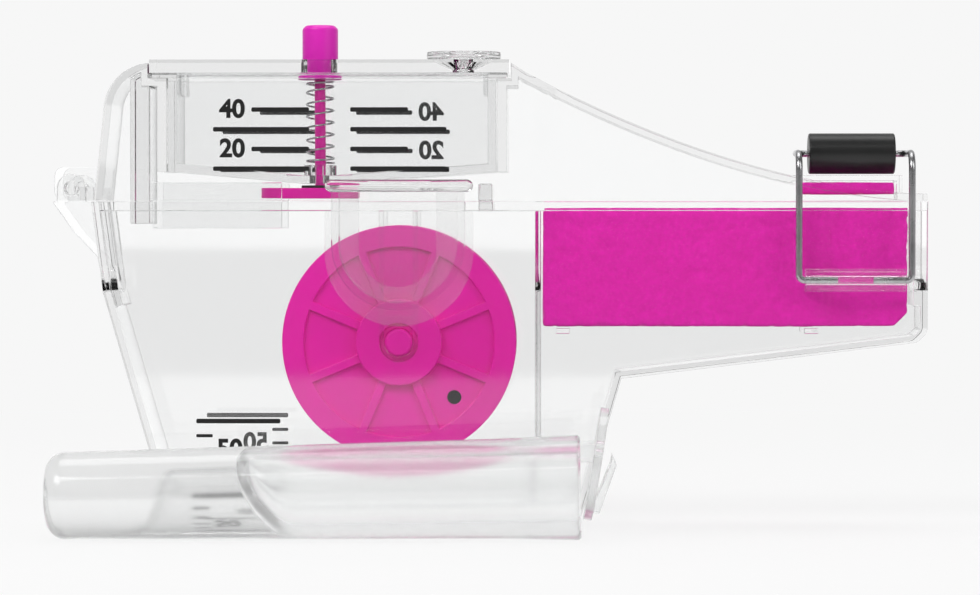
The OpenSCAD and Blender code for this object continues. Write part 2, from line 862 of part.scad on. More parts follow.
module tank_lid() {
    y = half_a - cover_inset;
    in_y = tank_half - tank_wall - fit_gap;
    lug_x0 = -tank_left + tank_wall + fit_gap;
    lug_x1 = tank_x - tank_wall - fit_gap;
    color([0.9, 0.92, 0.93, 0.5])
    difference() {
        union() {
            block([-plate_left, -y, lid_z], [plate_right, y, lid_top]);
            for (s = [-1, 1]) for (x = [lug_x0, lug_x1 - lug_l])
                block([x, s * in_y - lug_w * (s + 1) / 2, lid_z - lug_drop],
                    [x + lug_l, s * in_y - lug_w * (s - 1) / 2, lid_z]);
        }
        translate([-plunger_x, 0, 0]) cylinder(r = button_r + button_gap, h = lid_top + cut);
        translate([-filler_x, 0, 0]) cylinder(r = filler_r, h = lid_top);
        translate([-filler_x, 0, lid_z + funnel_foot])
            cylinder(r1 = filler_r, r2 = funnel_r, h = lid_t - funnel_foot + skin_gap);
    }
}

module upper_sponge() {
    half = seat_w / 2 - seat_wall - running;
    z1 = seat_z - seat_wall - running;
    color([0.87, 0.07, 0.5])
    block([pad_x0, -half, z1 - pad_t], [pad_x1, half, z1]);
}

module button_cap() {
    color([0.87, 0.07, 0.6])
    translate([-plunger_x, 0, 0])
    difference() {
        rotate_extrude() polygon([
            [0, button_z0],
            [button_flange_r, button_z0],
            [button_flange_r, button_z0 + button_flange_t],
            [button_r, button_z0 + button_flange_t],
            [button_r, button_top_z - button_dome],
            [button_r - button_dome, button_top_z],
            [0, button_top_z]
        ]);
        translate([0, 0, button_z0 - cut]) cylinder(r = rod_r, h = 2 * rod_r + 2 * cut);
    }
}

module plunger_rod() {
    color([0.87, 0.07, 0.6])
    translate([-plunger_x, 0, valve_z0])
    cylinder(r = rod_r, h = button_z0 + 2 * rod_r + cut - valve_z0);
}

// Points and frames along the spring, from its lower to its upper end
spring_mean = spring_r - spring_wire / 2;
spring_low = spring_z0 + spring_wire;
spring_rise = spring_z1 - spring_z0 - 2 * spring_wire;
spring_count = spring_turns * spring_rings;
spring_beta = atan(spring_rise / (spring_turns * 2 * PI * spring_mean));

function spring_ring(a, z, b) = let (
    out = [cos(a), sin(a), 0],
    along = [-sin(a), cos(a), 0],
    side = along * sin(b) - [0, 0, cos(b)]
) [for (k = [0 : spring_sides - 1]) let (q = 360 * k / spring_sides)
    [-plunger_x, 0, z] + out * spring_mean + (out * cos(q) + side * sin(q)) * spring_wire / 2];

function spring_rings_all() = concat(
    [spring_ring(0, spring_z0, 90)],
    [for (i = [0 : spring_count])
        let (edge = i == 0 || i == spring_count)
        spring_ring(360 * i / spring_rings, spring_low + spring_rise * i / spring_count,
            edge ? (90 + spring_beta) / 2 : spring_beta)],
    [spring_ring(360 * spring_count / spring_rings, spring_z1, 90)]
);

module plunger_spring() {
    rings = spring_rings_all();
    n = len(rings);
    s = spring_sides;
    sides = [for (i = [0 : n - 2]) for (k = [0 : s - 1]) each [
        [i * s + k, i * s + (k + 1) % s, (i + 1) * s + k],
        [i * s + (k + 1) % s, (i + 1) * s + (k + 1) % s, (i + 1) * s + k]
    ]];
    ends = [for (k = [1 : s - 2]) each [[0, k + 1, k], [(n - 1) * s, (n - 1) * s + k, (n - 1) * s + k + 1]]];
    color([0.6, 0.6, 0.62])
    polyhedron(points = [for (r = rings) each r], faces = concat(sides, ends));
}

spring_self_gap = spring_rise / spring_turns * cos(spring_beta) - spring_wire;
echo("least gap between two turns of the spring", spring_self_gap);

module valve_washer() {
    color([0.2, 0.2, 0.2])
    translate([-plunger_x, 0, valve_z1])
    difference() {
        cylinder(r = washer_r, h = washer_t);
        translate([0, 0, -cut]) cylinder(r = rod_r, h = washer_t + 2 * cut);
    }
}

module valve_plate() {
    half = valve_w / 2;
    x0 = -plunger_x - valve_l * valve_left_share + half;
    x1 = x0 + valve_l - 2 * half;
    color([0.87, 0.07, 0.5])
    difference() {
        plan_prism(valve_z0, valve_z1) union() {
            translate([x0, 0]) circle(r = half);
            translate([x1, 0]) circle(r = half);
            translate([x0, -half]) square([x1 - x0, valve_w]);
        }
        translate([-plunger_x, 0, valve_z0 - cut]) cylinder(r = rod_r, h = valve_t + 2 * cut);
    }
}

module filler_cap() {
    z0 = lid_top + cap_seat;
    z1 = z0 + cap_t;
    color([0.9, 0.92, 0.93, 0.5])
    translate([-filler_x, 0, 0])
    rotate_extrude() polygon([
        [0, lid_z],
        [filler_r - running, lid_z],
        [filler_r - running, lid_z + funnel_foot],
        [funnel_r - 2 * running, lid_top],
        [funnel_r - 2 * running, z0],
        [cap_r, z0],
        [cap_r, z1],
        [cap_r - cap_rim, z1],
        [cap_r - cap_rim, z1 - cap_recess],
        [cap_boss_r, z1 - cap_recess],
        [cap_boss_r, z1],
        [0, z1]
    ]);
}

module filler_seal() {
    color([0.8, 0.8, 0.8, 0.7])
    translate([-filler_x, 0, lid_top])
    difference() {
        cylinder(r = seal_out, h = cap_seat);
        translate([0, 0, -cut]) cylinder(r = seal_in, h = cap_seat + 2 * cut);
    }
}

// One disc, its plain face at y = 0 and its raised face towards -y
module wheel_disc(drained) {
    rise = disc_t + relief;
    pocket_r = wheel_r - rim_w;
    drain = pocket_r * drain_share + rim_w / 2;
    difference() {
        union() {
            bar_y(0, 0, wheel_r, -rise, 0);
            bar_y(0, 0, hub_r, -(hub_face - disc_in), 0);
        }
        difference() {
            bar_y(0, 0, pocket_r, -rise - cut, -disc_t);
            bar_y(0, 0, hub_r, -rise - 2 * cut, 0);
            for (i = [0 : spokes - 1])
                rotate([0, (i + 0.5) * 360 / spokes, 0])
                block([0, -rise, -spoke_w / 2], [wheel_r, 0, spoke_w / 2]);
        }
        bar_y(0, 0, hub_dish_r, -(hub_face - disc_in) - cut, -(hub_face - disc_in) + hub_dish);
        bar_y(0, 0, axle_r, -hub_face, cut);
        if (drained) rotate([0, -drain_angle, 0]) bar_y(drain, 0, drain_r, -rise - cut, cut);
    }
}

module wheel_disc_front() {
    color([0.87, 0.07, 0.6])
    translate([-wheel_x, -disc_in, wheel_z]) wheel_disc(true);
}

module wheel_disc_rear() {
    color([0.87, 0.07, 0.6])
    translate([-wheel_x, disc_in, wheel_z]) mirror([0, 1, 0]) wheel_disc(false);
}

module wheel_core() {
    color([0.87, 0.07, 0.6])
    difference() {
        bar_y(-wheel_x, wheel_z, hub_r, -disc_in, disc_in);
        bar_y(-wheel_x, wheel_z, axle_r, -disc_in - cut, disc_in + cut);
    }
}

module wheel_axle() {
    color([0.87, 0.07, 0.6])
    translate([-wheel_x, 0, wheel_z]) rotate([90, 0, 0])
    rotate_extrude() polygon([
        [0, -axle_end],
        [tip_r, -axle_end],
        [axle_r, -axle_end + tip_chamfer],
        [axle_r, axle_end - tip_chamfer],
        [tip_r, axle_end],
        [0, axle_end]
    ]);
}

// The bristles and their sleeve are one closed surface: every second cell of every
// second row of the sleeve is drawn out into a bristle.
bristle_cells = 2 * bristle_rows;
bristle_bands = 2 * bristle_cols + 1;

function sleeve_point(i, j) = let (a = 360 * i / bristle_cells)
    [sleeve_r * cos(a), sleeve_half * (2 * j / bristle_bands - 1), sleeve_r * sin(a)];

function bore_point(i, end) = let (a = 360 * i / bristle_cells)
    [sleeve_in * cos(a), sleeve_half * end, sleeve_in * sin(a)];

function tip_point(i, j, side, level) = let (
    mid = 360 * (i + 0.5) / bristle_cells,
    reach = 360 / bristle_cells / 2 * bristle_tip_share * sleeve_r / bristle_r,
    a = mid + side * reach,
    y_mid = 2 * (j + 0.5) / bristle_bands - 1,
    y_reach = bristle_tip_share / bristle_bands
) [bristle_r * cos(a), sleeve_half * (y_mid + level * y_reach), bristle_r * sin(a)];

module brush_bristles() {
    n = bristle_cells;
    m = bristle_bands;
    grid = [for (j = [0 : m]) for (i = [0 : n - 1]) sleeve_point(i, j)];
    bores = [for (e = [-1, 1]) for (i = [0 : n - 1]) bore_point(i, e)];
    tips = [for (j = [1 : 2 : m - 1]) for (i = [0 : 2 : n - 1]) each
        [tip_point(i, j, -1, -1), tip_point(i, j, 1, -1), tip_point(i, j, 1, 1), tip_point(i, j, -1, 1)]];
    b0 = n * (m + 1);
    t0 = b0 + 2 * n;
    skin = [for (j = [0 : m - 1]) for (i = [0 : n - 1])
        let (p = j * n + i, q = j * n + (i + 1) % n, u = p + n, v = q + n)
        if (j % 2 == 0 || i % 2 == 1) each [[p, u, q], [q, u, v]]];
    strands = [for (j = [1 : 2 : m - 1]) for (i = [0 : 2 : n - 1])
        let (
            p = j * n + i, q = j * n + (i + 1) % n, u = p + n, v = q + n,
            t = t0 + ((j - 1) / 2 * bristle_rows + i / 2) * 4,
            root = [p, q, v, u]
        ) each concat(
            [for (k = [0 : 3]) each [[root[k], t + k, root[(k + 1) % 4]],
                [root[(k + 1) % 4], t + k, t + (k + 1) % 4]]],
            [[t, t + 3, t + 1], [t + 1, t + 3, t + 2]])];
    rings = [for (i = [0 : n - 1]) let (k = (i + 1) % n, top = m * n) each [
        [i, k, b0 + i], [k, b0 + k, b0 + i],
        [top + i, b0 + n + i, top + k], [top + k, b0 + n + i, b0 + n + k],
        [b0 + i, b0 + k, b0 + n + i], [b0 + k, b0 + n + k, b0 + n + i]
    ]];
    color([0.15, 0.15, 0.16])
    translate([-wheel_x, 0, wheel_z])
    polyhedron(points = concat(grid, bores, tips), faces = concat(skin, strands, rings));
}

// One half of the bail, drawn with the middle of the roller at x = 0
module bail_half_wire() {
    foot_z = bail_pivot_z;
    color([0.62, 0.62, 0.64]) {
        bar_x(0, roller_z, bail_r, 0, bail_half - bend_end);
        translate([bail_half - bend_end, -bend_end, roller_z])
            rotate_extrude(angle = 90) translate([bend_end, 0]) circle(r = bail_r);
        translate([bail_half, bail_y + bend_top, roller_z]) rotate([-90, 0, 0])
            cylinder(r = bail_r, h = -bail_y - bend_top - bend_end);
        translate([bail_half, bail_y + bend_top, roller_z - bend_top]) rotate([180, 0, 0]) rotate([0, 90, 0])
            rotate_extrude(angle = 90) translate([bend_top, 0]) circle(r = bail_r);
        translate([bail_half, bail_y, foot_z + bend_foot])
            cylinder(r = bail_r, h = roller_z - bend_top - foot_z - bend_foot);
        translate([bail_half - bend_foot, bail_y, foot_z + bend_foot]) rotate([-90, 0, 0])
            rotate_extrude(angle = 90) translate([bend_foot, 0]) circle(r = bail_r);
        bar_x(bail_y, foot_z, bail_r, bail_half - stub_l, bail_half - bend_foot);
    }
}

module bail_wire() {
    color([0.62, 0.62, 0.64])
    translate([bail_x, 0, 0])
    union() {
        bail_half_wire();
        mirror([1, 0, 0]) bail_half_wire();
    }
}

module bail_roller() {
    color([0.08, 0.08, 0.08])
    difference() {
        bar_x(0, roller_z, roller_r, bail_x - roller_l / 2, bail_x + roller_l / 2);
        bar_x(0, roller_z, bail_r + bail_gap, bail_x - roller_l, bail_x + roller_l);
    }
}

// Places something drawn along +x from the closed end of the grip, as the handle lies
module lying_handle() {
    translate([-grip_x, -grip_y, grip_z]) rotate([0, -grip_tilt, 0]) children();
}

function grip_radius(t) = grip_r0 + (grip_r1 - grip_r0) * t;

module handle_grip() {
    bore_end = grip_l - bore_depth + grip_bore;
    color([0.9, 0.92, 0.93, 0.5])
    lying_handle() rotate([0, 90, 0]) rotate_extrude() polygon(concat(
        [for (k = [0 : arc_points]) let (a = 90 * k / arc_points)
            [grip_r0 - end_round + end_round * sin(a), end_round - end_round * cos(a)]],
        [for (s = grip_shares) [grip_radius(s[1]), grip_l * s[0]]],
        [[grip_r1, grip_l], [grip_bore, grip_l]],
        [for (k = [0 : arc_points]) let (a = 90 * k / arc_points)
            [grip_bore * cos(a), bore_end - grip_bore * sin(a)]],
        [[0, 0]]
    ));
}

// The tongue plate face on: straight sides down to a round bottom
module tongue_outline() {
    half = tongue_w / 2;
    translate([0, plate_foot + half]) circle(r = half);
    translate([-half, plate_foot + half]) square([tongue_w, plate_up + plate_down - half]);
}

// The plate that slides into the socket, on its two short webs
module handle_tongue() {
    color([0.9, 0.92, 0.93, 0.5])
    lying_handle() translate([grip_l, 0, 0]) union() {
        for (s = [-1, 1])
            block([0, s * grip_bore - web_t / 2, web_up], [web_l + web_t, s * grip_bore + web_t / 2,
                web_up + web_h]);
        translate([web_l, 0, web_up]) rotate([0, tongue_lean, 0])
        difference() {
            rotate([90, 0, 90]) linear_extrude(height = tongue_t) tongue_outline();
            translate([-cut, 0, web_h / 2]) rotate([0, 90, 0]) cylinder(r = lug_hole, h = tongue_t + 2 * cut);
        }
    }
}

// The springy catch in front of the tongue plate
module handle_clip() {
    z1 = web_h - 2 * lug_hole;
    z0 = plate_foot + clip_up;
    color([0.9, 0.92, 0.93, 0.5])
    lying_handle() translate([grip_l + web_l, 0, web_up]) rotate([0, tongue_lean, 0])
    side_prism(-clip_w / 2, clip_w / 2) polygon([
        [tongue_t, z0],
        [tongue_t + clip_t, z0],
        [tongue_t + clip_stand + clip_t, z1 - clip_stand],
        [tongue_t + clip_stand, z1],
        [tongue_t + clip_stand, z1 - clip_stand],
        [tongue_t, z0 + 2 * clip_t]
    ]);
}

tub_shell();
tub_partition();
axle_rails();
axle_keepers();
handle_socket();
latch_barrel();
hinge_cheeks();
sponge_ledges();
lower_sponge();
cover_shell();
chain_guides();
locating_skirts();
hinge_ears();
hinge_pins();
reservoir_tank();
tank_gasket();
tank_lid();
upper_sponge();
button_cap();
plunger_rod();
plunger_spring();
valve_washer();
valve_plate();
filler_cap();
filler_seal();
wheel_disc_front();
wheel_disc_rear();
wheel_core();
wheel_axle();
brush_bristles();
bail_wire();
bail_roller();
handle_grip();
handle_tongue();
handle_clip();
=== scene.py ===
"""Looks of the clear chain scrubbing tool: brush wheel, sponges, reservoir, latch and loose handle."""

import json
import math
import random

import bmesh
import bpy
from mathutils import Matrix, Vector, noise


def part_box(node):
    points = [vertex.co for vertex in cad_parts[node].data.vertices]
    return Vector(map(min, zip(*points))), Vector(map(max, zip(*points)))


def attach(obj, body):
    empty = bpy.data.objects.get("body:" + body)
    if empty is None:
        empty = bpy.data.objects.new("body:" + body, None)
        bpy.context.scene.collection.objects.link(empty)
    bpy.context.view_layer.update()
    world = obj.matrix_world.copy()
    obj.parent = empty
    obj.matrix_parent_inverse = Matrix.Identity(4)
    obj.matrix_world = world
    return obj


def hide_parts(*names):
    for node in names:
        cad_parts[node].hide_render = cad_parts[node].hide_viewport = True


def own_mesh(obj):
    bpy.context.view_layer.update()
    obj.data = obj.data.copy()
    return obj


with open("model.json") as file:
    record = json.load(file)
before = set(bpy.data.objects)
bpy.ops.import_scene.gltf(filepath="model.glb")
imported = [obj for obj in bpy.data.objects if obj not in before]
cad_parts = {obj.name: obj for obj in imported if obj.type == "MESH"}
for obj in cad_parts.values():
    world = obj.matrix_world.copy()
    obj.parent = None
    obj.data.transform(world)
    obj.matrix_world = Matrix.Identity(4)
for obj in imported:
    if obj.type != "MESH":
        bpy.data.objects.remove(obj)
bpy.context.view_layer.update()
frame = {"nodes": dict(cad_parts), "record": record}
NODES = frame["nodes"]
MM = 0.001

# Camera, in metres and degrees
SENSOR_MM = 36
LENS_MM = 135.9
CAMERA_M = 0.82
CAMERA_HEIGHT = 66.8 * MM
CAMERA_TILT = 1.169
CAMERA_YAW = 1.0

BACKGROUND = 0.93
BENT_WORLD = 1.11
CLEAR_IOR = 1.49

# How fast clear plastic takes light away, per metre: walls seen edge-on turn grey, thin ones stay clear
CLEAR_DENSITY = 9.0

# The white table ends just under the camera, and what lies beyond it is dark in the reflections
TABLE_HALF = 8
TABLE_FRONT = -0.80

# The table's own glow, which hides its far edge: its share near the object and far off, and the two distances
GLOW_SHARES = (0.78, 1.0)
GLOW_FROM = 0.12
GLOW_TO = 0.5

# Place from front to back and tone of the world that bent and mirrored rays see
WORLD_TONES = ((0.0, 0.09), (0.5, 0.12), (0.75, 0.26), (0.9, 0.55), (0.96, 0.84), (1.0, 1.0))
SOFT_LIGHT = 0.75

# Name, size, watts and place of each lamp
LAMPS = (
    ("key", (0.7, 0.5), 6.7, (-0.7, -0.8, 0.9)),
    ("fill", (0.6, 0.6), 3.0, (0.9, -0.7, 0.6)),
    ("top", (0.9, 0.5), 3.5, (0.0, 0.2, 1.1)),
    ("strip", (0.6, 0.03), 0.5, (0.0, -0.7, 0.75)),
)
LAMPS_AIM = (0, 0, 0.05)

# Air left around each clear piece, so that two that touch stay two pieces of plastic
AIR = 0.03 * MM


# Node tree helpers

def new_material(name):
    material = bpy.data.materials.new(name)
    material.use_nodes = True
    tree = material.node_tree
    return material, tree, tree.nodes["Principled BSDF"], tree.nodes["Material Output"]


def add(tree, kind, **values):
    node = tree.nodes.new(kind)
    for name, value in values.items():
        if hasattr(node, name):
            setattr(node, name, value)
        else:
            node.inputs[name.replace("_", " ")].default_value = value
    return node


def noise_texture(tree, scale, detail=3.0, roughness=0.5, stretch=None):
    where = add(tree, "ShaderNodeTexCoord")
    texture = add(tree, "ShaderNodeTexNoise", Scale=scale, Detail=detail, Roughness=roughness)
    if stretch:
        mapping = add(tree, "ShaderNodeMapping")
        mapping.inputs["Scale"].default_value = stretch
        tree.links.new(where.outputs["Object"], mapping.inputs["Vector"])
        tree.links.new(mapping.outputs["Vector"], texture.inputs["Vector"])
    else:
        tree.links.new(where.outputs["Object"], texture.inputs["Vector"])
    return texture


def ramp(tree, source, stops):
    node = add(tree, "ShaderNodeValToRGB")
    elements = node.color_ramp.elements
    while len(elements) < len(stops):
        elements.new(0.5)
    for element, (place, colour) in zip(elements, stops):
        element.position = place
        element.color = colour if len(colour) == 4 else (*colour, 1)
    tree.links.new(source, node.inputs["Fac"])
    return node


def spread(tree, source, low, high):
    node = add(tree, "ShaderNodeMapRange")
    node.inputs["To Min"].default_value = low
    node.inputs["To Max"].default_value = high
    tree.links.new(source, node.inputs["Value"])
    return node


def bump(tree, shader, source, strength, distance):
    node = add(tree, "ShaderNodeBump", Strength=strength, Distance=distance)
    tree.links.new(source, node.inputs["Height"])
    tree.links.new(node.outputs["Normal"], shader.inputs["Normal"])
    return node


# Materials

def clear_plastic(name, tint, low, high, waviness, clearness=1.0):
    """Polished clear moulding: faint flow marks in its gloss, and lamps shine through it."""
    material, tree, shader, output = new_material(name)
    shader.inputs["Base Color"].default_value = (*tint, 1)
    shader.inputs["Transmission Weight"].default_value = clearness
    shader.inputs["IOR"].default_value = CLEAR_IOR
    flow = noise_texture(tree, 60, 4, 0.6, (1, 1, 2.5))
    gloss = spread(tree, flow.outputs["Fac"], low, high)
    tree.links.new(gloss.outputs["Result"], shader.inputs["Roughness"])
    swell = noise_texture(tree, 38, 1, 0.4)
    bump(tree, shader, swell.outputs["Fac"], waviness, 0.4 * MM)
    path = add(tree, "ShaderNodeLightPath")
    window = add(tree, "ShaderNodeBsdfTransparent")
    window.inputs["Color"].default_value = (0.985, 0.987, 0.987, 1)
    mix = add(tree, "ShaderNodeMixShader")
    tree.links.new(path.outputs["Is Shadow Ray"], mix.inputs["Fac"])
    tree.links.new(shader.outputs["BSDF"], mix.inputs[1])
    tree.links.new(window.outputs["BSDF"], mix.inputs[2])
    tree.links.new(mix.outputs["Shader"], output.inputs["Surface"])
    depth = add(tree, "ShaderNodeVolumeAbsorption", Density=CLEAR_DENSITY)
    depth.inputs["Color"].default_value = (0.0, 0.0, 0.0, 1)
    tree.links.new(depth.outputs["Volume"], output.inputs["Volume"])
    return material


def moulded_plastic(name, deep, light, low, high, grain):
    material, tree, shader, _ = new_material(name)
    cloud = noise_texture(tree, 45, 4, 0.55)
    colour = ramp(tree, cloud.outputs["Fac"], [(0.3, deep), (0.75, light)])
    tree.links.new(colour.outputs["Color"], shader.inputs["Base Color"])
    fine = noise_texture(tree, 900, 3, 0.6)
    gloss = spread(tree, fine.outputs["Fac"], low, high)
    tree.links.new(gloss.outputs["Result"], shader.inputs["Roughness"])
    bump(tree, shader, fine.outputs["Fac"], grain, 0.08 * MM)
    shader.inputs["IOR"].default_value = 1.49
    return material


def foam(name, deep, light):
    material, tree, shader, _ = new_material(name)
    where = add(tree, "ShaderNodeTexCoord")
    # Painted shade in the pores: the colour is darkest at the middle of each Voronoi cell, which the bump
    # below sinks into a dimple. The cloud noise mixes in a random tone.
    cells = add(tree, "ShaderNodeTexVoronoi", Scale=1100)
    tree.links.new(where.outputs["Object"], cells.inputs["Vector"])
    cloud = noise_texture(tree, 120, 4, 0.6)
    pore_shade_and_tone = add(tree, "ShaderNodeMath", operation="MULTIPLY")
    tree.links.new(cells.outputs["Distance"], pore_shade_and_tone.inputs[0])
    tree.links.new(cloud.outputs["Fac"], pore_shade_and_tone.inputs[1])
    colour = ramp(tree, pore_shade_and_tone.outputs["Value"], [(0.0, deep), (0.6, light)])
    tree.links.new(colour.outputs["Color"], shader.inputs["Base Color"])
    shader.inputs["Roughness"].default_value = 0.9
    shader.inputs["Sheen Weight"].default_value = 0.25
    shader.inputs["Sheen Roughness"].default_value = 0.5
    bump(tree, shader, cells.outputs["Distance"], 0.2, 0.2 * MM)
    return material


def drawn_steel(name):
    material, tree, shader, _ = new_material(name)
    streaks = noise_texture(tree, 700, 4, 0.6, (0.15, 1, 0.15))
    colour = ramp(tree, streaks.outputs["Fac"], [(0.25, (0.36, 0.36, 0.37)), (0.8, (0.62, 0.62, 0.63))])
    tree.links.new(colour.outputs["Color"], shader.inputs["Base Color"])
    shader.inputs["Metallic"].default_value = 1.0
    gloss = spread(tree, streaks.outputs["Fac"], 0.18, 0.36)
    tree.links.new(gloss.outputs["Result"], shader.inputs["Roughness"])
    bump(tree, shader, streaks.outputs["Fac"], 0.15, 0.05 * MM)
    return material


def make_materials():
    pink = ((0.78, 0.002, 0.36), (0.88, 0.004, 0.42))
    return {
        "clear_plastic": clear_plastic("clear_plastic", (0.996, 0.998, 0.998), 0.02, 0.04, 0.05),
        "handle_plastic": clear_plastic("handle_plastic", (0.94, 0.945, 0.945), 0.1, 0.22, 0.3, 0.88),
        "socket_plastic": clear_plastic("socket_plastic", (0.99, 0.99, 0.99), 0.03, 0.07, 0.1, 0.975),
        "pink_plastic": moulded_plastic("pink_plastic", *pink, 0.28, 0.42, 0.12),
        "button_plastic": moulded_plastic("button_plastic", (0.60, 0.003, 0.38), (0.68, 0.005, 0.44),
                                          0.28, 0.42, 0.12),
        "black_plastic": moulded_plastic("black_plastic", (0.004, 0.004, 0.004), (0.012, 0.012, 0.012),
                                         0.3, 0.45, 0.2),
        "black_rubber": moulded_plastic("black_rubber", (0.01, 0.01, 0.01), (0.02, 0.02, 0.02),
                                        0.6, 0.8, 0.3),
        "black_nylon": moulded_plastic("black_nylon", (0.01, 0.01, 0.011), (0.035, 0.035, 0.04),
                                       0.3, 0.5, 0.1),
        "clear_rubber": clear_plastic("clear_rubber", (0.93, 0.94, 0.94), 0.2, 0.3, 0.1),
        "pink_sponge": foam("pink_sponge", (0.76, 0.002, 0.39), (0.88, 0.005, 0.49)),
        "steel_wire": drawn_steel("steel_wire"),
        "print_ink": moulded_plastic("print_ink", (0.004, 0.004, 0.004), (0.01, 0.01, 0.01), 0.35, 0.5, 0.1),
    }


MATERIALS = make_materials()
SLOTS = {entry["node"]: entry["material_slot"] for entry in frame["record"]["subparts"]}


# Pieces

def body_of_node(node):
    for body, members in frame["record"]["behaviour"]["bodies"].items():
        if node in members:
            return body
    raise KeyError(node)


def link(name, mesh):
    piece = bpy.data.objects.new(name, mesh)
    bpy.context.scene.collection.objects.link(piece)
    return piece


def place(piece, body, slot, material, *stands_for):
    piece.data.materials.clear()
    piece.data.materials.append(MATERIALS[material])
    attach(piece, body)
    if stands_for:
        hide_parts(*stands_for)
    return piece


# Two faces that meet at more than this angle have a rounded edge between them
EDGE_ANGLE = math.radians(32)
EDGE_SEGMENTS = 3
FLAT_ANGLE = math.radians(0.6)
WELD = 0.001 * MM


def clean_copy(node):
    """The node's own shape with its triangles joined into flat faces."""
    mesh = bpy.data.meshes.new(node + "_faces")
    work = bmesh.new()
    work.from_mesh(NODES[node].data)
    bmesh.ops.remove_doubles(work, verts=work.verts, dist=WELD)
    bmesh.ops.dissolve_limit(work, angle_limit=FLAT_ANGLE, verts=work.verts, edges=work.edges,
                             use_dissolve_boundaries=False)
    bmesh.ops.recalc_face_normals(work, faces=work.faces)
    work.to_mesh(mesh)
    work.free()
    return mesh


def is_clear(slot):
    return slot.startswith("clear")


def rounded(node, radius, material=None):
    """Stands for a rigid node with its edges broken by a small radius, as a moulding has them."""
    mesh = clean_copy(node)
    mesh.shade_smooth()
    mesh.set_sharp_from_angle(angle=EDGE_ANGLE)
    piece = link(node + "_moulding", mesh)
    if is_clear(SLOTS[node]):
        air = piece.modifiers.new("air", "DISPLACE")
        air.mid_level = 0.0
        air.strength = -AIR
    edge = piece.modifiers.new("edge", "BEVEL")
    edge.width = radius
    edge.segments = EDGE_SEGMENTS
    edge.limit_method = "ANGLE"
    edge.angle_limit = EDGE_ANGLE
    edge.use_clamp_overlap = True
    even = piece.modifiers.new("even", "WEIGHTED_NORMAL")
    even.keep_sharp = False
    even.weight = 80
    return place(piece, body_of_node(node), SLOTS[node], material or SLOTS[node], node)


# Radius of each rigid node's edges, in millimetres
ROUNDED = {
    "tub_shell": 0.5, "tub_partition": 0.2, "axle_rails": 0.2, "axle_keepers": 0.15, "handle_socket": 0.75,
    "latch_barrel": 0.3, "hinge_cheeks": 0.3, "sponge_ledges": 0.2, "cover_shell": 0.6, "chain_guides": 0.3,
    "locating_skirts": 0.2, "hinge_ears": 0.3, "hinge_pins": 0.15, "reservoir_tank": 0.6, "tank_gasket": 0.08,
    "tank_lid": 0.6, "button_cap": 0.3, "plunger_rod": 0.1, "valve_plate": 0.25, "valve_washer": 0.1,
    "filler_cap": 0.2, "filler_seal": 0.08, "wheel_disc_front": 0.25, "wheel_disc_rear": 0.25,
    "wheel_core": 0.1, "wheel_axle": 0.15, "bail_roller": 0.4, "bail_wire": 0.05, "handle_tongue": 0.3,
    "handle_clip": 0.25,
}


# Materials that aren't named by the node's own slot
FINISH = {
    "handle_tongue": "handle_plastic", "handle_clip": "handle_plastic", "handle_socket": "socket_plastic",
    "button_cap": "button_plastic",
}


def make_mouldings():
    for node, radius in ROUNDED.items():
        rounded(node, radius * MM, FINISH.get(node))


def evaluated_mesh(piece):
    """The piece's shape with its modifiers applied, as a mesh of its own."""
    graph = bpy.context.evaluated_depsgraph_get()
    mesh = bpy.data.meshes.new_from_object(piece.evaluated_get(graph))
    bpy.data.objects.remove(piece)
    return mesh


# Foam

FOAM_VOXEL = 0.7 * MM
PORE_DEPTH = 0.28 * MM
SWELL_DEPTH = 0.2 * MM
PORE_STEP = 1.9 * MM
PORE_FROM = 0.1
PORE_SLOPE = 3
SWELL_STEP = 14 * MM
FOAM_BODIES = {"lower_sponge": 0.95, "upper_sponge": 0.9}


def foam_block(node):
    """Cut foam: soft corners, a slow unevenness and open pores, all inside the space of its CAD solid."""
    start = link("start", clean_copy(node))
    grid = start.modifiers.new("grid", "REMESH")
    grid.mode = "VOXEL"
    grid.voxel_size = FOAM_VOXEL
    soft = start.modifiers.new("soft", "SMOOTH")
    soft.factor = 0.5
    soft.iterations = 3
    mesh = evaluated_mesh(start)
    for vertex in mesh.vertices:
        pore = max(0.0, noise.noise(vertex.co / PORE_STEP) - PORE_FROM)
        swell = 0.5 + 0.5 * noise.noise(vertex.co / SWELL_STEP)
        vertex.co -= vertex.normal * (PORE_DEPTH * min(1.0, PORE_SLOPE * pore) + SWELL_DEPTH * swell)
    mesh.shade_smooth()
    piece = link(node + "_foam", mesh)
    place(piece, body_of_node(node), SLOTS[node], SLOTS[node], node)


def make_foam():
    for node, fill in FOAM_BODIES.items():
        foam_block(node)


# Brush

BRISTLE_ROWS = 36
BRISTLE_COLS = 9
TUFT_STRANDS = 7
STRAND_R = 0.11 * MM
TUFT_SPREAD = 0.42 * MM
TIP_SPREAD = 0.75 * MM
SLEEVE_T = 1.0 * MM
SLEEVE_SEGMENTS = 96


def add_strand(work, root, tip, side, along):
    """A three-sided bristle that thins a little towards its cut end."""
    ends = []
    for centre, radius in ((root, STRAND_R), (tip, 0.8 * STRAND_R)):
        ring = []
        for k in range(3):
            angle = math.tau * k / 3
            ring.append(work.verts.new(centre + (side * math.cos(angle) + along * math.sin(angle)) * radius))
        ends.append(ring)
    for k in range(3):
        n = (k + 1) % 3
        work.faces.new((ends[0][k], ends[0][n], ends[1][n], ends[1][k]))
    work.faces.new(ends[1])
    work.faces.new(reversed(ends[0]))


